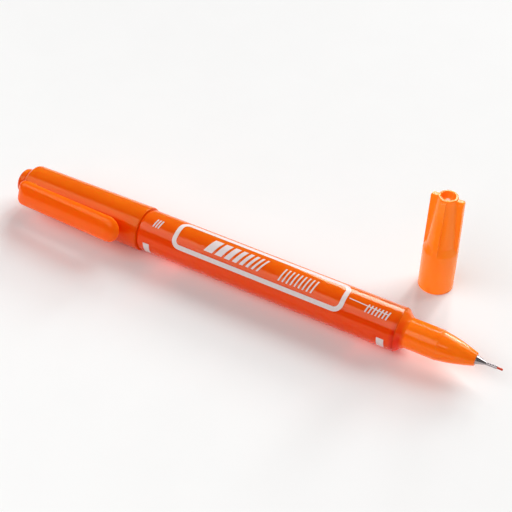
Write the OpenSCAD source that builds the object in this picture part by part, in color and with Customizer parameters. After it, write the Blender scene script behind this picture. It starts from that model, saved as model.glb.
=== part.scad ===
// Twin-tip felt marker, lying on a table with its long cap on.
// The small cap of the needle end is off and stands on its mouth behind the nose.
// Frame: X runs along the pen towards the needle nib, Z is up, and the origin is on
// the pen's axis at the foot of the front neck, where the small cap stops.
// Turned outlines are lists of [place along the axis, radius].

/* [Barrel] */
// Outside diameter of the barrel
barrel_d = 10.5; // [10.2:0.1:11.5]
// Length of the barrel tube
barrel_len = 69.15; // [62:0.05:80]
// Wall thickness of the barrel tube
barrel_wall = 1; // [0.8:0.05:1.1]

/* [Front nose, needle end] */
// Length of the sloping shoulder between the barrel and the neck
shoulder_len = 1.65; // [1.2:0.05:3]
// Diameter of the neck that the small cap grips
neck_d = 7.2; // [6.8:0.05:7.3]
// Length of the neck
neck_len = 7.8; // [7:0.1:9]
// Length of the cone in front of the neck
cone_len = 8.4; // [7.5:0.1:9]
// Diameter of the steel needle tube
needle_d = 0.72; // [0.66:0.02:0.9]
// Diameter of the needle nib
nib_d = 0.5; // [0.4:0.02:0.54]
// How far the needle nib stands out of its tube
nib_out = 1.35; // [0.5:0.05:1.6]

/* [Rear nose, bullet end] */
// Diameter of the neck that the long cap grips
rear_neck_d = 9.2; // [9:0.05:9.4]
// Diameter of the bullet nib
bullet_d = 2.4; // [1.8:0.1:2.4]

/* [Long cap] */
// Length of the long cap's tube, from its rim to its chamfered tail
cap_len = 35.3; // [33.5:0.1:40]
// Outside diameter of the long cap at its rim
cap_rim_d = 11.3; // [11:0.1:12.5]
// Outside diameter of the long cap at its tail
cap_tail_d = 10.5; // [10.3:0.1:11]
// Diameter of the stub behind the tail
stub_d = 7; // [6:0.1:7.6]

/* [Pocket clip] */
// How far round the pen the clip sits, from straight up towards the front
clip_turn = 68; // [0:1:120]
// Length of the clip
clip_len = 32.1; // [30:0.1:32.4]
// Width of the clip
clip_w = 6.6; // [5.4:0.1:7.4]
// Distance from the pen's axis to the clip's underside at its root
clip_under = 6.9; // [6.9:0.05:7.2]
// How much further from the axis the underside is at the clip's free end
clip_rise = 1.4; // [0.8:0.1:1.6]
// Thickness of the clip along its middle
clip_t = 1.9; // [1.5:0.05:2.2]

/* [Small cap] */
// Outside diameter of the small cap at its mouth
small_d = 8.6; // [8.4:0.05:9]
// Height of the small cap
small_h = 27; // [26.6:0.1:30]
// Thickness of each fin
fin_t = 1.2; // [0.7:0.05:1.4]
// Where the small cap stands, along the pen
small_x = -3.3; // [-40:0.1:10]
// Where the small cap stands, behind the pen
small_y = 24.2; // [12:0.1:40]

/* [Hidden] */
$fn = 96;

press_gap = 0.02;      // between pieces that are pressed together
slide_gap = 0.06;      // radial gap of the grips that the caps slide on
edge_break = 0.1;      // smallest edge break on the moulded pieces

barrel_r = barrel_d / 2;
bore_r = barrel_r - barrel_wall;
barrel_front = -shoulder_len;
barrel_rear = barrel_front - barrel_len;
barrel_edge = 0.3;     // rounding of the barrel's front edge
rear_round_len = 1.15; // length of the rounding at the barrel's rear edge
rear_round_h = 0.3;    // height of that rounding

plug_r = bore_r - press_gap;
front_plug_len = 3.4;
neck_r = neck_d / 2;
shoulder_bend = 0.5;   // how far behind the neck the shoulder's slope turns in
neck_step = 0.1;       // small step where the cone starts
neck_draft = 0.02;     // taper of the short run between that step and the cone
stop_r = neck_r + edge_break;
nose_end = neck_len + cone_len;
nose_base_r = neck_r - neck_step - neck_draft;
nose_tip_r = 1.6;
nose_swell = 0.45;     // 0 gives a straight cone, more makes its sides bulge
nose_round = 0.3;
wick_r = 0.9;
wick_bore_r = wick_r + 0.05;
sleeve_base_r = 1.12;
sleeve_depth = 3.6;    // how deep the steel sleeve sits in the nose
needle_r = needle_d / 2;
nib_r = nib_d / 2;
needle_cone_len = 2.4;
needle_end = nose_end + 4.8;
nib_end = needle_end + nib_out;
sleeve_back = nose_end - sleeve_depth;

film_r = bore_r - 0.3;
film_t = 0.15;
core_r = film_r - film_t - press_gap;
reservoir_rear = barrel_rear + 12;
reservoir_front = barrel_front - 9;
wick_sink = 6;         // how far the wick and the bullet nib reach into the reservoir

rear_plug_len = 6;
rear_neck_r = rear_neck_d / 2;
rear_neck_len = 8.5;
rear_neck2_r = 3.15;
rear_neck2_end = barrel_rear - 13.5;
rear_nose_end = barrel_rear - 20;
rear_nose_tip_r = 1.7;
bullet_r = bullet_d / 2;
bullet_end = rear_nose_end - 3.4;

cap_gap = 0.1;         // groove left between the long cap's rim and the barrel
cap_rim = barrel_rear - cap_gap;
cap_tail = cap_rim - cap_len;
cap_rim_r = cap_rim_d / 2;
cap_tail_r = cap_tail_d / 2;
cap_edge = 0.25;
cap_mouth_r = rear_neck_r + slide_gap;
cap_mouth_len = 10;
cap_bore_r = 4.3;
cap_end_len = 1.7;     // length of the chamfer at the cap's tail
cap_end_wall = 0.5;    // how far the end wall reaches in front of that chamfer
stub_r = stub_d / 2;
stub_len = 2.15;
stub_round = 1.1;
seal_lip_r = rear_neck2_r + 0.05;
seal_len = 17;

hinge_x = cap_tail + 2.6;
hinge_h = 6.05;        // distance of the clip's flex line from the pen's axis
knuckle_r = 0.75;
knuckle_gap = 0.05;
knuckle_w = 5;
saddle_l = 2.6;
clip_neck_l = 1.1;
clip_start = cap_tail + 0.3;
clip_end = clip_start + clip_len;
clip_edge = 0.15;      // height of the clip's side walls below its dome
clip_corner_r = 1.9;
clip_corner_drop = 0.35; // how much lower the clip is at its root corners
clip_pad_w = 3;
clip_pad_gap = 0.4;    // gap between the clip's pad and the cap
clip_pad_r = 1.5;

table_z = -cap_rim_r;
small_r = small_d / 2;
small_bore_r = neck_r + slide_gap;
small_edge = 0.15;     // edge break at the small cap's mouth and ring
fin_drop = 0.45;       // how far the fins stop below the small cap's ring
fin_top = small_h - fin_drop;
side_fin_taper = 0.25; // how much nearer the axis the two side fins end at their tops
front_fin_taper = 1.3; // the same for the front and back fins, which are lower
fin_chamfer = 0.3;
fin_draft = 0.05;      // taper of the fins' outline up to the ledge
grip_draft = 0.04;     // taper of the grip up to the ledge
ledge_low = 11.5;
ledge_high = 13.4;
core_base_r = 3.5;
core_top_r = 2.35;
ring_wall = 0.55;
ring_draft = 0.1;      // taper of the open ring's inside
ring_depth = 1.7;
ring_floor_t = 0.7;
small_grip_len = 7.9;
small_seal_base_r = 2.75;
small_seal_top_r = 1.72;
small_seal_wall = 0.45;
small_seal_start = 11.6;
seal_nub_r = 0.55;
seal_nub_h = 1.35;

ORANGE = [1, 0.42, 0.06];
LIGHT_ORANGE = [1, 0.5, 0.2];

// Points on an arc round a centre, in the same [axis, radius] plane as the outlines.
function arc(centre, radius, from, to, steps = 5) = [
    for (i = [0 : steps])
        let (a = from + (to - from) * i / steps)
        [centre[0] + radius * cos(a), centre[1] + radius * sin(a)]
];

// Points on a curve that leaves one point towards a bend and arrives at another from it.
function bend(from, corner, to, steps = 5) = [
    for (i = [0 : steps])
        let (t = i / steps)
        (1 - t) * (1 - t) * from + 2 * t * (1 - t) * corner + t * t * to
];

// A solid turned about the pen's axis.
module turned(outline) {
    rotate([0, 90, 0])
        rotate_extrude()
            polygon([for (p = outline) [p[1], p[0]]]);
}

// A solid turned about the standing small cap's axis, with heights above the table.
module turned_standing(outline) {
    translate([small_x, small_y, table_z])
        rotate_extrude()
            polygon([for (p = outline) [p[1], p[0]]]);
}

// Turns the clip's own frame, whose Z points away from the pen, to its place round the pen.
module round_pen() {
    rotate([clip_turn, 0, 0])
        children();
}

// Barrel tube, with four ribs inside that hold the reservoir off the wall.
module barrel_tube() {
    rib_w = 0.7;
    rib_root = 0.3;
    color(ORANGE)
        union() {
            turned(concat(
                [for (i = [0 : 4])
                    let (a = i * 90 / 4)
                    [barrel_rear + rear_round_len * (1 - cos(a)), barrel_r - rear_round_h * (1 - sin(a))]],
                arc([barrel_front - barrel_edge, barrel_r - barrel_edge], barrel_edge, 90, 0),
                [[barrel_front, bore_r], [barrel_rear, bore_r]]
            ));
            for (turn = [45 : 90 : 315])
                rotate([turn, 0, 0])
                    translate([reservoir_rear, -rib_w / 2, film_r + press_gap])
                        cube([reservoir_front - reservoir_rear, rib_w, bore_r - film_r + rib_root]);
        }
}

// Moulded nose of the needle end: plug, shoulder, neck and cone in one piece.
module front_nose() {
    plug_back = barrel_front - front_plug_len;
    plug_lead = 0.3;
    plug_inner_r = 3.4;
    funnel_end = 5;
    cone_start = neck_len + 0.3;
    cone_end = nose_end - nose_round;
    color(ORANGE)
        turned(concat(
            [
                [plug_back, plug_r - plug_lead],
                [plug_back + plug_lead, plug_r],
                [barrel_front, plug_r]
            ],
            bend([barrel_front, barrel_r - edge_break], [-shoulder_bend, stop_r + shoulder_bend / 2], [0, stop_r]),
            [
                [0, neck_r],
                [neck_len - 0.2, neck_r],
                [neck_len, neck_r - neck_step]
            ],
            [for (t = [0 : 0.25 : 0.75])
                [cone_start + (cone_end - cone_start) * t,
                    nose_base_r - (nose_base_r - nose_tip_r) * (t + nose_swell * t * (t - 1))]],
            arc([cone_end, nose_tip_r - nose_round], nose_round, 75, 0),
            [
                [nose_end, sleeve_base_r + press_gap],
                [sleeve_back, sleeve_base_r + press_gap],
                [sleeve_back, wick_bore_r],
                [funnel_end, wick_bore_r],
                [barrel_front, plug_inner_r],
                [plug_back, plug_inner_r]
            ]
        ));
}

// Steel sleeve that ends in the needle tube.
module needle_sleeve() {
    base_bore_r = 0.6;
    cone_start_r = 1.02;
    color([0.72, 0.7, 0.7])
        turned([
            [sleeve_back, sleeve_base_r],
            [nose_end, sleeve_base_r],
            [nose_end + 0.05, cone_start_r],
            [nose_end + needle_cone_len, needle_r],
            [needle_end - 0.06, needle_r],
            [needle_end, needle_r - 0.06],
            [needle_end, nib_r + press_gap],
            [nose_end + 0.6, nib_r + press_gap],
            [nose_end, base_bore_r],
            [sleeve_back, base_bore_r]
        ]);
}

// Plastic needle nib, with a rounded writing end.
module needle_nib() {
    color([0.95, 0.25, 0.12])
        turned(concat(
            [[sleeve_back, 0], [sleeve_back, nib_r]],
            arc([nib_end - nib_r, 0], nib_r, 90, 0)
        ));
}

// Fibre wick that carries ink from the reservoir to the needle nib.
module relay_wick() {
    color([0.85, 0.35, 0.1])
        turned([
            [reservoir_front - wick_sink, 0],
            [reservoir_front - wick_sink, wick_r],
            [sleeve_back - press_gap, wick_r],
            [sleeve_back - press_gap, 0]
        ]);
}

// Fibre reservoir, bored at both ends for the wick and the bullet nib.
module ink_reservoir() {
    color([0.9, 0.4, 0.12])
        turned([
            [reservoir_rear, bullet_r + press_gap],
            [reservoir_rear, core_r],
            [reservoir_front, core_r],
            [reservoir_front, wick_r + press_gap],
            [reservoir_front - wick_sink - press_gap, wick_r + press_gap],
            [reservoir_front - wick_sink - press_gap, 0],
            [reservoir_rear + wick_sink + press_gap, 0],
            [reservoir_rear + wick_sink + press_gap, bullet_r + press_gap]
        ]);
}

// Thin film wrapped round the reservoir.
module reservoir_film() {
    color([0.92, 0.92, 0.95])
        turned([
            [reservoir_rear, film_r - film_t],
            [reservoir_rear, film_r],
            [reservoir_front, film_r],
            [reservoir_front, film_r - film_t]
        ]);
}

// Moulded nose of the bullet end, inside the long cap.
module rear_nose() {
    hole_r = bullet_r + press_gap;
    plug_front = barrel_rear + rear_plug_len;
    plug_inner_r = 3.3;
    tip_round = 0.4;
    neck_end = barrel_rear - rear_neck_len;
    color(ORANGE)
        turned(concat(
            [
                [plug_front, plug_inner_r],
                [plug_front, plug_r],
                [barrel_rear, plug_r],
                [barrel_rear, rear_neck_r],
                [neck_end, rear_neck_r],
                [neck_end - 0.8, rear_neck2_r],
                [rear_neck2_end, rear_neck2_r]
            ],
            arc([rear_nose_end + tip_round, rear_nose_tip_r - tip_round], tip_round, 105, 180),
            [
                [rear_nose_end, hole_r],
                [neck_end - 2, hole_r],
                [barrel_rear - 1, plug_inner_r]
            ]
        ));
}

// Fibre bullet nib, from inside the reservoir to its rounded writing end.
module bullet_nib() {
    tip_r = 0.45;
    color([0.95, 0.3, 0.1])
        turned(concat(
            [
                [reservoir_rear + wick_sink, 0],
                [reservoir_rear + wick_sink, bullet_r],
                [rear_nose_end - 0.6, bullet_r]
            ],
            arc([bullet_end + tip_r, 0], tip_r, 110, 180)
        ));
}

// Tube of the long cap, with the saddle that the clip flexes in.
module long_cap_shell() {
    tail_end = cap_tail - cap_end_len;
    end_wall = cap_tail + cap_end_wall;
    saddle_root = 4.8;
    color(ORANGE)
        difference() {
            union() {
                turned(concat(
                    [
                        [tail_end, stub_r + press_gap],
                        [tail_end, stub_r + 0.2],
                        [cap_tail - edge_break, cap_tail_r - edge_break],
                        [cap_tail + edge_break, cap_tail_r]
                    ],
                    arc([cap_rim - cap_edge, cap_rim_r - cap_edge], cap_edge, 90, 0),
                    [
                        [cap_rim, cap_mouth_r],
                        [cap_rim - cap_mouth_len, cap_mouth_r],
                        [cap_rim - cap_mouth_len, cap_bore_r],
                        [end_wall, cap_bore_r],
                        [end_wall, stub_r + press_gap]
                    ]
                ));
                round_pen()
                    translate([hinge_x - saddle_l / 2, -knuckle_w / 2, saddle_root])
                        cube([saddle_l, knuckle_w, hinge_h - saddle_root]);
            }
            round_pen()
                translate([hinge_x, 0, hinge_h])
                    rotate([90, 0, 0])
                        cylinder(r = knuckle_r + knuckle_gap, h = knuckle_w + 2, center = true);
        }
}

// Soft inner cup of the long cap, which seals on the rear nose.
module long_cap_seal() {
    front = cap_rim - cap_mouth_len;
    back = front - seal_len;
    cup_r = 3.5;
    wall = 1.2;
    color([0.98, 0.9, 0.84])
        turned([
            [back, 0],
            [back, cap_bore_r - press_gap],
            [front, cap_bore_r - press_gap],
            [front, seal_lip_r + 0.4],
            [front - 0.4, seal_lip_r],
            [front - 1.6, seal_lip_r],
            [front - 2.2, cup_r],
            [back + wall, cup_r],
            [back + wall, 0]
        ]);
}

// Plug that closes the long cap's tail and stands out of it as a short stub.
module tail_plug() {
    stub_end = cap_tail - cap_end_len - stub_len;
    flange_back = cap_tail + cap_end_wall;
    flange_len = 3;
    hollow_r = 2.6;
    hollow_end = cap_tail - cap_end_len;
    color(ORANGE)
        turned(concat(
            arc([stub_end + stub_round, stub_r - stub_round], stub_round, 180, 90),
            [
                [flange_back, stub_r],
                [flange_back, cap_bore_r - press_gap],
                [flange_back + flange_len, cap_bore_r - press_gap],
                [flange_back + flange_len, hollow_r],
                [hollow_end, hollow_r],
                [hollow_end, 0],
                [stub_end, 0]
            ]
        ));
}

// A disc with a flat base, a short side wall and an elliptical dome.
module domed_disc(radius, height) {
    dome_h = height - clip_edge;
    rotate_extrude($fn = 48)
        polygon(concat(
            [[0, 0], [radius - edge_break, 0]],
            [for (a = [0 : 10 : 90]) [radius * cos(a), clip_edge + dome_h * sin(a)]]
        ));
}

// Pocket clip: a domed paddle, its knuckle and the pad that presses on the cap.
module pocket_clip() {
    half_w = clip_w / 2;
    corner_y = half_w - clip_corner_r;
    pad_low = cap_rim_r + clip_pad_gap;
    color(ORANGE)
        round_pen()
            union() {
                hull() {
                    translate([clip_end - half_w, 0, clip_under + clip_rise])
                        domed_disc(half_w, clip_t);
                    translate([clip_start + half_w, 0, clip_under])
                        domed_disc(half_w, clip_t);
                    for (side = [-1, 1])
                        translate([clip_start + clip_corner_r, side * corner_y, clip_under])
                            domed_disc(clip_corner_r, clip_t - clip_corner_drop);
                }
                translate([hinge_x - clip_neck_l / 2, -knuckle_w / 2, hinge_h])
                    cube([clip_neck_l, knuckle_w, clip_under - hinge_h + 0.4]);
                translate([hinge_x, 0, hinge_h])
                    rotate([90, 0, 0])
                        cylinder(r = knuckle_r, h = knuckle_w, center = true);
                translate([clip_end - half_w, 0, pad_low + clip_pad_r])
                    rotate([90, 0, 0])
                        cylinder(r = clip_pad_r, h = clip_pad_w, center = true);
            }
}

// Two opposite fins of the small cap, whose outer edges lean in by taper from ledge to top.
module fin_pair(turn, taper) {
    intersection() {
        turned_standing([
            [0, 0],
            [0, small_r - small_edge],
            [small_edge, small_r],
            [ledge_high, small_r - fin_draft],
            [fin_top - fin_chamfer, small_r - taper],
            [fin_top, small_r - taper - fin_chamfer],
            [fin_top, 0]
        ]);
        translate([small_x, small_y, table_z + ledge_low - 1])
            rotate([0, 0, turn])
                translate([-small_r, -fin_t / 2, 0])
                    cube([small_d, fin_t, small_h]);
    }
}

// Shell of the small cap: a smooth grip, then a tapered core with four fins and an open ring.
module small_cap_shell() {
    bore_back = small_h - ring_depth - ring_floor_t;
    color(LIGHT_ORANGE)
        difference() {
            union() {
                turned_standing([
                    [0, 0],
                    [0, small_r - small_edge],
                    [small_edge, small_r],
                    [ledge_low, small_r - grip_draft],
                    [ledge_high, core_base_r],
                    [small_h - small_edge, core_top_r],
                    [small_h, core_top_r - small_edge],
                    [small_h, 0]
                ]);
                fin_pair(0, side_fin_taper);
                fin_pair(90, front_fin_taper);
            }
            turned_standing([
                [-1, 0],
                [-1, small_bore_r],
                [small_grip_len, small_bore_r],
                [small_seal_start, small_seal_base_r + press_gap],
                [bore_back, small_seal_top_r + press_gap],
                [bore_back, 0]
            ]);
            turned_standing([
                [small_h - ring_depth, 0],
                [small_h - ring_depth, core_top_r - ring_wall - ring_draft],
                [small_h + 1, core_top_r - ring_wall],
                [small_h + 1, 0]
            ]);
            turned_standing([
                [bore_back - 1, 0],
                [bore_back - 1, seal_nub_r + press_gap],
                [small_h, seal_nub_r + press_gap],
                [small_h, 0]
            ]);
        }
}

// Soft inner cup of the small cap; its nub shows inside the ring.
module small_cap_seal() {
    back = small_h - ring_depth - ring_floor_t;
    color([1, 0.62, 0.36])
        turned_standing([
            [small_seal_start, small_seal_base_r - small_seal_wall],
            [small_seal_start, small_seal_base_r],
            [back - press_gap, small_seal_top_r],
            [back - press_gap, seal_nub_r],
            [back + seal_nub_h - small_edge, seal_nub_r],
            [back + seal_nub_h, seal_nub_r - small_edge],
            [back + seal_nub_h, 0],
            [back - 0.9, 0],
            [back - 0.9, small_seal_top_r - small_seal_wall]
        ]);
}

barrel_tube();
front_nose();
needle_sleeve();
needle_nib();
relay_wick();
ink_reservoir();
reservoir_film();
rear_nose();
bullet_nib();
long_cap_shell();
long_cap_seal();
tail_plug();
pocket_clip();
small_cap_shell();
small_cap_seal();
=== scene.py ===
"""Looks for a twin-tip felt marker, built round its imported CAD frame."""

import math

import bmesh
import bpy
from mathutils import Matrix, Vector


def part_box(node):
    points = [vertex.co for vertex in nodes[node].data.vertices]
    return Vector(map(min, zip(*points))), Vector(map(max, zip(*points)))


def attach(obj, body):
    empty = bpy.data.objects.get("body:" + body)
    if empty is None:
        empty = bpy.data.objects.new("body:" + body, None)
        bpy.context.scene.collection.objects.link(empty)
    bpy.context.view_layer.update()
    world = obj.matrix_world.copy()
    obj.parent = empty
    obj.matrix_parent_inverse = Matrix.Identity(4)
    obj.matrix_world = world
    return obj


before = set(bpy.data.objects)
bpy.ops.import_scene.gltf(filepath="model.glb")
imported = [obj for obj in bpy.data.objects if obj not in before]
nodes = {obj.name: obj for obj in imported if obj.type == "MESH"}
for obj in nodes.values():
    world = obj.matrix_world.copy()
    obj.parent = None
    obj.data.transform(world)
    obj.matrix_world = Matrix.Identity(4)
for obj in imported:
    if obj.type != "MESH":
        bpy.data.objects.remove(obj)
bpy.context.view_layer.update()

MM = 0.001

# ---------------------------------------------------------------- places from the frame

barrel_low, barrel_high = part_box("barrel_tube")
BARREL_LEN = barrel_high.x - barrel_low.x
BARREL_R = (barrel_high.z - barrel_low.z) / 2
TABLE_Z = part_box("small_cap_shell")[0].z
CAP_RIM_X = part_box("long_cap_shell")[1].x

# The camera and the lights are aimed at a point on the table, a little behind the barrel.
AIM_SHARE = 0.36       # where it lies along the barrel, from its rear end
AIM_BEHIND = 10.6 * MM
MIDDLE = Vector((barrel_low.x + AIM_SHARE * BARREL_LEN, AIM_BEHIND, TABLE_Z))


def heading(azimuth, elevation):
    """Unit vector towards an azimuth counted from +X to +Y, at an elevation, both in degrees."""
    turn, rise = math.radians(azimuth), math.radians(elevation)
    return (math.cos(turn) * math.cos(rise), math.sin(turn) * math.cos(rise), math.sin(rise))


KEY_HEADING = heading(66, 44)

# ---------------------------------------------------------------- materials


class Nodes:
    """A material's node tree, with short calls for making and joining nodes."""

    def __init__(self, name):
        self.material = bpy.data.materials.new(name)
        self.material.use_nodes = True
        self.tree = self.material.node_tree
        self.shader = self.tree.nodes["Principled BSDF"]
        self.output = self.tree.nodes["Material Output"]
        self.coords = self.add("ShaderNodeTexCoord").outputs["Object"]

    def add(self, kind, **settings):
        node = self.tree.nodes.new(kind)
        for key, value in settings.items():
            setattr(node, key, value)
        return node

    def link(self, source, target):
        self.tree.links.new(source, target)

    def set(self, **values):
        """Fixed values for the shader's inputs, with underscores for the spaces in their names."""
        for key, value in values.items():
            self.shader.inputs[key.replace("_", " ")].default_value = value

    def feed(self, name, source):
        """Joins a socket to the shader's input of this name."""
        self.link(source, self.shader.inputs[name])

    def scaled(self, scale):
        mapping = self.add("ShaderNodeMapping")
        mapping.inputs["Scale"].default_value = scale
        self.link(self.coords, mapping.inputs["Vector"])
        return mapping.outputs["Vector"]

    def noise(self, scale, detail=3.0, rough=0.55, stretch=(1, 1, 1)):
        node = self.add("ShaderNodeTexNoise")
        node.inputs["Scale"].default_value = scale
        node.inputs["Detail"].default_value = detail
        node.inputs["Roughness"].default_value = rough
        self.link(self.scaled(stretch), node.inputs["Vector"])
        return node.outputs["Fac"]

    def remap(self, source, low, high, start=0.3, end=0.7):
        """Turns the range from start to end into the range from low to high."""
        node = self.add("ShaderNodeMapRange")
        node.inputs["From Min"].default_value = start
        node.inputs["From Max"].default_value = end
        node.inputs["To Min"].default_value = low
        node.inputs["To Max"].default_value = high
        self.link(source, node.inputs["Value"])
        return node.outputs["Result"]

    def mix(self, fac, dark, light):
        node = self.add("ShaderNodeMix", data_type="RGBA")
        self.link(fac, node.inputs["Factor"])
        node.inputs["A"].default_value = (*dark, 1)
        node.inputs["B"].default_value = (*light, 1)
        return node.outputs["Result"]

    def mix_sockets(self, fac, first, second):
        node = self.add("ShaderNodeMix", data_type="RGBA")
        self.link(fac, node.inputs["Factor"])
        self.link(first, node.inputs["A"])
        self.link(second, node.inputs["B"])
        return node.outputs["Result"]

    def rgb(self, colour):
        node = self.add("ShaderNodeRGB")
        node.outputs["Color"].default_value = (*colour, 1)
        return node.outputs["Color"]

    def times(self, first, second):
        node = self.add("ShaderNodeMath", operation="MULTIPLY")
        self.link(first, node.inputs[0])
        self.link(second, node.inputs[1])
        return node.outputs["Value"]

    def bump(self, source, distance, strength=1.0, under=None):
        """A normal that rises and falls with source, on top of the normal under it."""
        node = self.add("ShaderNodeBump")
        node.inputs["Distance"].default_value = distance
        node.inputs["Strength"].default_value = strength
        self.link(source, node.inputs["Height"])
        if under is not None:
            self.link(under, node.inputs["Normal"])
        return node.outputs["Normal"]

    def speckled(self, pattern, dark, light):
        """Base colour that wanders between two shades with a noise pattern."""
        self.feed("Base Color", self.mix(self.remap(pattern, 0, 1), dark, light))

    def ray(self, kind):
        """1 on rays of a kind, such as "Is Camera Ray", and 0 on all others."""
        return self.add("ShaderNodeLightPath").outputs[kind]

    def swap_shader(self, fac, other):
        """Shows another shader instead of the main one, in a share set by fac."""
        mix = self.add("ShaderNodeMixShader")
        self.link(fac, mix.inputs["Fac"])
        self.link(self.shader.outputs["BSDF"], mix.inputs[1])
        self.link(other, mix.inputs[2])
        self.link(mix.outputs["Shader"], self.output.inputs["Surface"])

    def tint_shadow(self, glow):
        """Lets a coloured share of the light through to what lies in the piece's shadow."""
        clear = self.add("ShaderNodeBsdfTransparent")
        clear.inputs["Color"].default_value = (*glow, 1)
        self.swap_shader(self.ray("Is Shadow Ray"), clear.outputs["BSDF"])


EDGE_SHEEN = 0.16 * MM    # how wide the moulded edges catch the light
PALE_SHEEN = (1, 0.82, 0.6)
WARM_SHEEN = (1, 0.8, 0.32)
CREEP = (1, 0.45, 0.2)    # how far red, green and blue light creep, against each other
FACES_AWAY = -0.15        # cosine to the key light at which a face shows only its painted shade
FACES_KEY = 0.8           # and at which it shows none of it


def moulded_plastic(
    name, dark, light, rough, scatter_mm, glow, painted_shade, painted_glow, sheen=PALE_SHEEN, deep=None,
):
    """Glossy moulded plastic that lets light creep along inside it, and tints its own shadow.

    painted_shade is a painted shade: the colour it takes where it faces away from the key light's
    fixed direction, standing in for light that has crossed more plastic. painted_glow is the
    strength of a painted glow in that colour, an emission that only the camera sees. glow is
    the share of light that the walls let through into the shadow, and sheen tints what the
    surface mirrors. deep, if given, is (start, end, fade, colour): a stretch along X where the
    painted shade and glow take a deeper colour, over the nose's plug.
    """
    m = Nodes(name)
    colour = m.mix(m.remap(m.noise(90, detail=2), 0, 1), dark, light)
    # Painted shade: faces turned from the fixed key light direction take the far-side colour.
    towards_key = m.add("ShaderNodeVectorMath", operation="DOT_PRODUCT")
    m.link(m.add("ShaderNodeNewGeometry").outputs["Normal"], towards_key.inputs[0])
    towards_key.inputs[1].default_value = KEY_HEADING
    away = m.remap(towards_key.outputs["Value"], 1, 0, FACES_AWAY, FACES_KEY)
    if deep is None:
        painted_shade_colour = m.rgb(painted_shade)
    else:
        start, end, fade, deep_colour = deep
        split = m.add("ShaderNodeSeparateXYZ")
        m.link(m.coords, split.inputs["Vector"])
        rises = m.remap(split.outputs["X"], 0, 1, start, start + fade)
        falls = m.remap(split.outputs["X"], 1, 0, end - fade, end)
        painted_shade_colour = m.mix(m.times(rises, falls), painted_shade, deep_colour)
    m.feed("Base Color", m.mix_sockets(away, colour, painted_shade_colour))
    m.feed("Roughness", m.remap(m.noise(420, detail=4), rough * 0.8, rough * 1.3))
    m.set(
        IOR=1.5,
        Subsurface_Weight=1.0,
        Subsurface_Radius=[scatter_mm * MM * share for share in CREEP],
        Subsurface_Scale=1.0,
        Specular_IOR_Level=0.36,
        Specular_Tint=(*sheen, 1),
    )
    # Painted glow: emission in the far-side colour, seen only by camera rays.
    m.feed("Emission Color", painted_shade_colour)
    m.feed("Emission Strength", m.remap(m.ray("Is Camera Ray"), 0, painted_glow, 0, 1))
    edges = m.add("ShaderNodeBevel", samples=4)
    edges.inputs["Radius"].default_value = EDGE_SHEEN
    flow_marks = m.noise(160, detail=2, stretch=(0.25, 1, 1))
    scuffs = m.noise(2600, detail=5, rough=0.7, stretch=(0.2, 1, 1))
    flow = m.bump(flow_marks, distance=0.015 * MM, strength=0.5, under=edges.outputs["Normal"])
    m.feed("Normal", m.bump(scuffs, distance=0.002 * MM, strength=0.35, under=flow))
    m.tint_shadow(glow)
    return m.material


def drawn_steel(name, dark, light):
    m = Nodes(name)
    grain = m.noise(900, stretch=(0.06, 1, 1))
    m.speckled(grain, dark, light)
    m.feed("Roughness", m.remap(grain, 0.16, 0.3))
    m.feed("Normal", m.bump(grain, distance=0.004 * MM, strength=0.4))
    m.set(Metallic=1.0)
    return m.material


def inked_fibre(name, dark, light):
    m = Nodes(name)
    strands = m.noise(2400, detail=4, stretch=(0.04, 1, 1))
    m.speckled(strands, dark, light)
    m.feed("Roughness", m.remap(strands, 0.5, 0.8))
    m.feed("Normal", m.bump(strands, distance=0.03 * MM, strength=0.7))
    m.tint_shadow((0.92, 0.75, 0.72))
    return m.material


def soft_seal(name, dark, light):
    m = Nodes(name)
    clouds = m.noise(300)
    m.speckled(clouds, dark, light)
    m.feed("Roughness", m.remap(clouds, 0.32, 0.46))
    m.set(
        Subsurface_Weight=0.5,
        Subsurface_Radius=(1.2 * MM, 0.8 * MM, 0.6 * MM),
        Subsurface_Scale=1.0,
    )
    m.tint_shadow((0.92, 0.85, 0.83))
    return m.material


def wrap_film(name, dark, light):
    m = Nodes(name)
    creases = m.noise(700, detail=4, stretch=(0.3, 1, 1))
    m.speckled(creases, dark, light)
    m.feed("Roughness", m.remap(creases, 0.08, 0.22))
    m.feed("Normal", m.bump(creases, distance=0.02 * MM, strength=0.5))
    m.set(Alpha=0.45)
    m.tint_shadow((0.97, 0.96, 0.96))
    return m.material


def screen_ink(name, dark, light):
    """Screen-printed ink, with a slightly uneven coat."""
    m = Nodes(name)
    coat = m.noise(1500, detail=4)
    m.speckled(coat, dark, light)
    m.feed("Roughness", m.remap(coat, 0.3, 0.5))
    m.feed("Normal", m.bump(coat, distance=0.004 * MM, strength=0.5))
    return m.material


# Painted shade colours for the side that faces away from the key light, and the light that gets
# through the walls into the shadow.
DEEP_SHADE_ORANGE = (0.80, 0.022, 0.0)
PAINTED_SHADE_ORANGE = (0.97, 0.070, 0.001)
THICK_WALLS = (0.76, 0.42, 0.38)
CAP_WALLS = (0.66, 0.38, 0.35)
THIN_WALLS = (0.72, 0.46, 0.43)
SMALL_WALLS = (0.55, 0.38, 0.36)
# Over the nose's plug the painted shade and painted glow are deeper, from behind the barrel's
# front edge to just past the foot of the neck, which is at x = 0.
PLUG_START = barrel_high.x - 1.4 * MM
PLUG_END = 0.3 * MM
PLUG_FADE = 1.0 * MM
PLUG_SHADE_ZONE = (PLUG_START, PLUG_END, PLUG_FADE, DEEP_SHADE_ORANGE)

# Each plastic gets a painted shade on its side away from the key light and a painted glow that only
# the camera sees.
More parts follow.
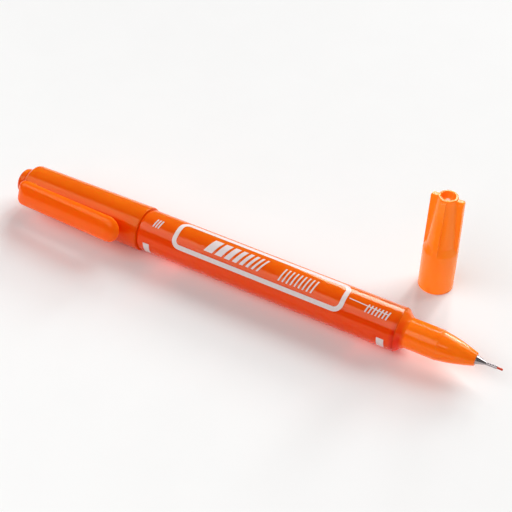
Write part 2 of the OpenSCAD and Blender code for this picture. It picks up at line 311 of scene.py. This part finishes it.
BARREL_PLASTIC = moulded_plastic(
    "barrel_plastic", dark=(0.84, 0.150, 0.002), light=(0.88, 0.170, 0.003), rough=0.06,
    scatter_mm=0.5, glow=THICK_WALLS, painted_shade=PAINTED_SHADE_ORANGE, painted_glow=0.03, deep=PLUG_SHADE_ZONE,
)
NOSE_PLASTIC = moulded_plastic(
    "nose_plastic", dark=(0.92, 0.20, 0.006), light=(0.96, 0.23, 0.010), rough=0.05,
    scatter_mm=0.8, glow=THIN_WALLS, painted_shade=(0.97, 0.165, 0.003), painted_glow=0.24, deep=PLUG_SHADE_ZONE,
)
CAP_PLASTIC = moulded_plastic(
    "cap_plastic", dark=(0.84, 0.155, 0.002), light=(0.88, 0.175, 0.003), rough=0.10,
    scatter_mm=0.5, glow=CAP_WALLS, painted_shade=(0.84, 0.080, 0.001), painted_glow=0.04, sheen=WARM_SHEEN,
)
CLIP_PLASTIC = moulded_plastic(
    "clip_plastic", dark=(0.90, 0.180, 0.003), light=(0.94, 0.205, 0.005), rough=0.08,
    scatter_mm=0.5, glow=CAP_WALLS, painted_shade=(0.96, 0.112, 0.002), painted_glow=0.20, sheen=WARM_SHEEN,
)
SMALL_PLASTIC = moulded_plastic(
    "small_cap_plastic", dark=(0.95, 0.25, 0.012), light=(0.98, 0.29, 0.02), rough=0.10,
    scatter_mm=0.8, glow=SMALL_WALLS, painted_shade=(1.0, 0.22, 0.012), painted_glow=0.34,
)
SLEEVE_STEEL = drawn_steel("sleeve_steel", (0.30, 0.25, 0.26), (0.50, 0.45, 0.46))
NIB_PLASTIC = inked_fibre("nib_plastic", (0.6, 0.03, 0.01), (0.85, 0.1, 0.03))
INKED_FIBRE = inked_fibre("inked_fibre", (0.5, 0.08, 0.01), (0.8, 0.2, 0.03))
INKED_FELT = inked_fibre("inked_felt", (0.55, 0.05, 0.01), (0.85, 0.14, 0.03))
SEAL_PLASTIC = soft_seal("seal_plastic", (0.78, 0.66, 0.58), (0.88, 0.78, 0.7))
# The small cap's seal is paler than its own colour, a painted highlight for the white glints in the
# small cap's recess.
SMALL_SEAL_PLASTIC = soft_seal("small_seal_plastic", (0.98, 0.55, 0.36), (1.0, 0.68, 0.5))
CLEAR_FILM = wrap_film("clear_film", (0.72, 0.72, 0.74), (0.9, 0.9, 0.92))
WHITE_INK = screen_ink("white_ink", (0.84, 0.72, 0.71), (0.90, 0.78, 0.77))

NODE_MATERIALS = {
    "barrel_tube": BARREL_PLASTIC,
    "front_nose": NOSE_PLASTIC,
    "rear_nose": NOSE_PLASTIC,
    "long_cap_shell": CAP_PLASTIC,
    "tail_plug": CAP_PLASTIC,
    "pocket_clip": CLIP_PLASTIC,
    "small_cap_shell": SMALL_PLASTIC,
    "small_cap_seal": SMALL_SEAL_PLASTIC,
    "long_cap_seal": SEAL_PLASTIC,
    "needle_sleeve": SLEEVE_STEEL,
    "needle_nib": NIB_PLASTIC,
    "relay_wick": INKED_FIBRE,
    "ink_reservoir": INKED_FIBRE,
    "bullet_nib": INKED_FELT,
    "reservoir_film": CLEAR_FILM,
}


def paint(piece, material):
    piece.data.materials.clear()
    piece.data.materials.append(material)


for node_name, node_material in NODE_MATERIALS.items():
    paint(nodes[node_name], node_material)

# ---------------------------------------------------------------- print on the barrel

INK_RISE = 0.03 * MM   # how far the ink stands on the plastic
INK_SINK = 0.02 * MM   # how far its underside reaches into it


def from_rim(distance_mm):
    """Place along X, counted forwards from the long cap's rim."""
    return CAP_RIM_X + distance_mm * MM


def on_barrel(x, round_angle, lift):
    """Point on the barrel; angles run from level on the -Y side (0) to straight up (90)."""
    radius = BARREL_R + lift
    angle = math.radians(round_angle)
    return (x, -radius * math.cos(angle), radius * math.sin(angle))


class Print:
    """Collects wrapped strokes of ink into one mesh of closed thin slabs."""

    stroke_spans = 4   # flat strips across a stroke
    block_spans = 8    # flat strips round the barrel in a block

    def __init__(self):
        self.points = []
        self.faces = []

    def stroke(self, path, width, closed=False):
        """Ink of one width along a path of (x, angle) points."""
        rows = []
        count = len(path)
        for i, (x, angle) in enumerate(path):
            before = path[(i - 1) % count] if closed or i > 0 else path[i]
            after = path[(i + 1) % count] if closed or i < count - 1 else path[i]
            along = Vector((after[0] - before[0], BARREL_R * math.radians(after[1] - before[1])))
            along.normalize()
            side = Vector((-along.y, along.x)) * width
            row = []
            for k in range(self.stroke_spans + 1):
                part = k / self.stroke_spans - 0.5
                row.append((x + side.x * part, angle + math.degrees(side.y * part / BARREL_R)))
            rows.append(row)
        self.slab(rows, closed)

    def block(self, x, angle, width, height, slant=0.0):
        """A bar round the barrel, centred at (x, angle); slant shifts its upper end along X."""
        rows = []
        for i in range(self.block_spans + 1):
            part = i / self.block_spans - 0.5
            shift = slant * part
            turn = angle + math.degrees(height * part / BARREL_R)
            rows.append([(x + shift - width / 2, turn), (x + shift + width / 2, turn)])
        self.slab(rows, closed=False)

    def hatching(self, start, count, pitch, angle, width, height, slant):
        """Equal slanted bars in a row, in millimetres counted from the long cap's rim."""
        for k in range(count):
            self.block(from_rim(start + k * pitch), angle, width * MM, height * MM, slant * MM)

    def slab(self, rows, closed):
        """A closed slab over rows of (x, angle) points, joined into a loop when closed is set."""
        base = len(self.points)
        wide = len(rows[0])
        last = wide - 1
        for lift in (INK_RISE, -INK_SINK):
            for row in rows:
                self.points.extend(on_barrel(x, angle, lift) for x, angle in row)
        under = len(rows) * wide
        spans = len(rows) if closed else len(rows) - 1
        for i in range(spans):
            here = base + i * wide
            there = base + ((i + 1) % len(rows)) * wide
            for k in range(last):
                self.faces.append((here + k, here + k + 1, there + k + 1, there + k))
                low_here, low_there = under + here + k, under + there + k
                self.faces.append((low_here, low_there, low_there + 1, low_here + 1))
            self.faces.append((here, there, under + there, under + here))
            self.faces.append((here + last, under + here + last, under + there + last, there + last))
        if not closed:
            for start, flip in ((base, False), (base + (len(rows) - 1) * wide, True)):
                for k in range(start, start + last):
                    face = (k, under + k, under + k + 1, k + 1)
                    self.faces.append(face[::-1] if flip else face)

    def finish(self, name):
        """Makes the piece of print, with its faces turned outwards, and fixes it to the barrel."""
        mesh = bpy.data.meshes.new(name)
        mesh.from_pydata(self.points, [], self.faces)
        shell = bmesh.new()
        shell.from_mesh(mesh)
        bmesh.ops.recalc_face_normals(shell, faces=shell.faces)
        shell.to_mesh(mesh)
        shell.free()
        piece = bpy.data.objects.new(name, mesh)
        bpy.context.scene.collection.objects.link(piece)
        paint(piece, WHITE_INK)
        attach(piece, "barrel")


def rounded_frame(x_low, x_high, angle_low, angle_high, corner):
    """Closed path of a rectangle with round corners, wrapped round the barrel."""
    turn = math.degrees(corner / BARREL_R)
    corner_steps = 6
    side_steps = 10
    corners = (
        (x_high - corner, angle_low + turn, -90),
        (x_high - corner, angle_high - turn, 0),
        (x_low + corner, angle_high - turn, 90),
        (x_low + corner, angle_low + turn, 180),
    )
    path = []
    for i, (x, angle, start) in enumerate(corners):
        for step in range(corner_steps + 1):
            bend = math.radians(start + 90 * step / corner_steps)
            path.append((x + corner * math.cos(bend), angle + turn * math.sin(bend)))
        from_x, from_angle = path[-1]
        next_x, next_angle, next_start = corners[(i + 1) % len(corners)]
        next_bend = math.radians(next_start)
        to_x = next_x + corner * math.cos(next_bend)
        to_angle = next_angle + turn * math.sin(next_bend)
        for step in range(1, side_steps):
            part = step / side_steps
            path.append((from_x + (to_x - from_x) * part, from_angle + (to_angle - from_angle) * part))
    return path


def add_shrinking_bars(ink):
    """Slanted bars that get finer along the barrel."""
    count = 8
    gap = 0.75 * MM
    shrink = 0.8
    x = from_rim(19.5)
    width = 2.3 * MM
    for _ in range(count):
        ink.block(x + width / 2, angle=69, width=width, height=3.6 * MM, slant=1.6 * MM)
        x += width + gap
        width *= shrink


def add_leader_line(ink):
    """A thin line that leads from the outline to the marks at the needle end."""
    start = 56.5
    start_angle = 73
    fall = 0.5   # degrees for each millimetre
    path = [(from_rim(start + k), start_angle - fall * k) for k in range(11)]
    ink.stroke(path, width=0.22 * MM)


def add_barrel_print():
    ink = Print()
    outline = rounded_frame(
        x_low=from_rim(10.4), x_high=from_rim(55.4), angle_low=31.5, angle_high=108.5,
        corner=1.8 * MM,
    )
    ink.stroke(outline, width=1.15 * MM, closed=True)
    add_shrinking_bars(ink)
    ink.hatching(start=39.5, count=9, pitch=1.05, angle=66, width=0.38, height=3.4, slant=0.7)
    ink.hatching(start=3.9, count=3, pitch=0.75, angle=71, width=0.36, height=2.3, slant=0.4)
    ink.hatching(start=61.3, count=7, pitch=0.85, angle=65, width=0.34, height=2.1, slant=0.4)
    add_leader_line(ink)
    ink.block(from_rim(3.0), angle=-14, width=1.75 * MM, height=3.7 * MM)
    ink.block(from_rim(66.2), angle=-14, width=1.8 * MM, height=3.2 * MM)
    ink.finish("barrel_print")


add_barrel_print()

# ---------------------------------------------------------------- floor, light and camera

BACKDROP = (0.91, 0.905, 0.895)
FLOOR_FADE = (0.25, 0.8)   # the floor turns into the plain backdrop between these distances
FLOOR_HALF = 3.0
WORLD_STRENGTH = 0.11
FAR_LIGHTS = 3.4           # distance of the three lights behind the marker
NEAR_LIGHT = 0.8


def pale_card(name, dark, light):
    """A pale card, which fades to an even backdrop where it runs out of the lights."""
    m = Nodes(name)
    m.speckled(m.noise(60), dark, light)
    m.set(Roughness=0.6, Specular_IOR_Level=0.2)
    distance = m.add("ShaderNodeVectorMath", operation="LENGTH")
    m.link(m.coords, distance.inputs[0])
    fade = m.remap(distance.outputs["Value"], 0, 1, *FLOOR_FADE)
    backdrop = m.add("ShaderNodeEmission")
    backdrop.inputs["Color"].default_value = (*BACKDROP, 1)
    m.swap_shader(m.times(fade, m.ray("Is Camera Ray")), backdrop.outputs["Emission"])
    return m.material


def add_floor():
    mesh = bpy.data.meshes.new("floor")
    quarters = ((-1, -1), (1, -1), (1, 1), (-1, 1))
    corners = [(x * FLOOR_HALF, y * FLOOR_HALF, TABLE_Z) for x, y in quarters]
    mesh.from_pydata(corners, [], [(0, 1, 2, 3)])
    floor = bpy.data.objects.new("floor", mesh)
    bpy.context.scene.collection.objects.link(floor)
    paint(floor, pale_card("floor_card", (0.925, 0.923, 0.917), (0.935, 0.933, 0.927)))


def add_area_light(name, direction, distance, size, radiance):
    """An area light that stands off along direction from the marker and faces it."""
    width, height = size
    data = bpy.data.lights.new(name, "AREA")
    data.shape = "RECTANGLE"
    data.size = width
    data.size_y = height
    data.energy = radiance * math.pi * width * height
    light = bpy.data.objects.new(name, data)
    bpy.context.scene.collection.objects.link(light)
    towards = Vector(direction).normalized()
    light.location = MIDDLE + towards * distance
    light.rotation_euler = towards.to_track_quat("Z", "Y").to_euler()


def add_world():
    """Weak even light from all round, which the camera sees as the plain backdrop."""
    world = bpy.data.worlds.new("studio")
    bpy.context.scene.world = world
    world.use_nodes = True
    tree = world.node_tree
    background = tree.nodes["Background"]
    brightest = BACKDROP[0]
    background.inputs["Color"].default_value = (*(part / brightest for part in BACKDROP), 1)
    path = tree.nodes.new("ShaderNodeLightPath")
    level = tree.nodes.new("ShaderNodeMapRange")
    level.inputs["To Min"].default_value = WORLD_STRENGTH
    level.inputs["To Max"].default_value = brightest
    tree.links.new(path.outputs["Is Camera Ray"], level.inputs["Value"])
    tree.links.new(level.outputs["Result"], background.inputs["Strength"])


def add_camera(azimuth, elevation, distance, lens, roll):
    data = bpy.data.cameras.new("camera")
    data.lens = lens
    data.sensor_width = 36
    data.clip_start = 0.01
    camera = bpy.data.objects.new("camera", data)
    bpy.context.scene.collection.objects.link(camera)
    back = Vector(heading(azimuth - 90, elevation))
    camera.location = MIDDLE + back * distance
    upright = (-back).to_track_quat("-Z", "Y")
    camera.rotation_mode = "QUATERNION"
    turn = Matrix.Rotation(math.radians(roll), 4, "Z").to_quaternion()
    camera.rotation_quaternion = upright @ turn
    bpy.context.scene.camera = camera


add_floor()
add_world()
add_area_light("key", KEY_HEADING, FAR_LIGHTS, size=(2.36, 1.36), radiance=5.95)
add_area_light("back_strip", heading(86, 24), FAR_LIGHTS, size=(0.60, 0.76), radiance=24)
add_area_light("back_glow", heading(107, 29), FAR_LIGHTS, size=(0.50, 1.70), radiance=10)
add_area_light("front_softbox", heading(238.5, 46.5), NEAR_LIGHT, size=(1.04, 0.45), radiance=2.7)
add_camera(azimuth=30.21, elevation=41.29, distance=0.2748, lens=77.34, roll=0.275)
bpy.context.scene.view_settings.view_transform = "Standard"
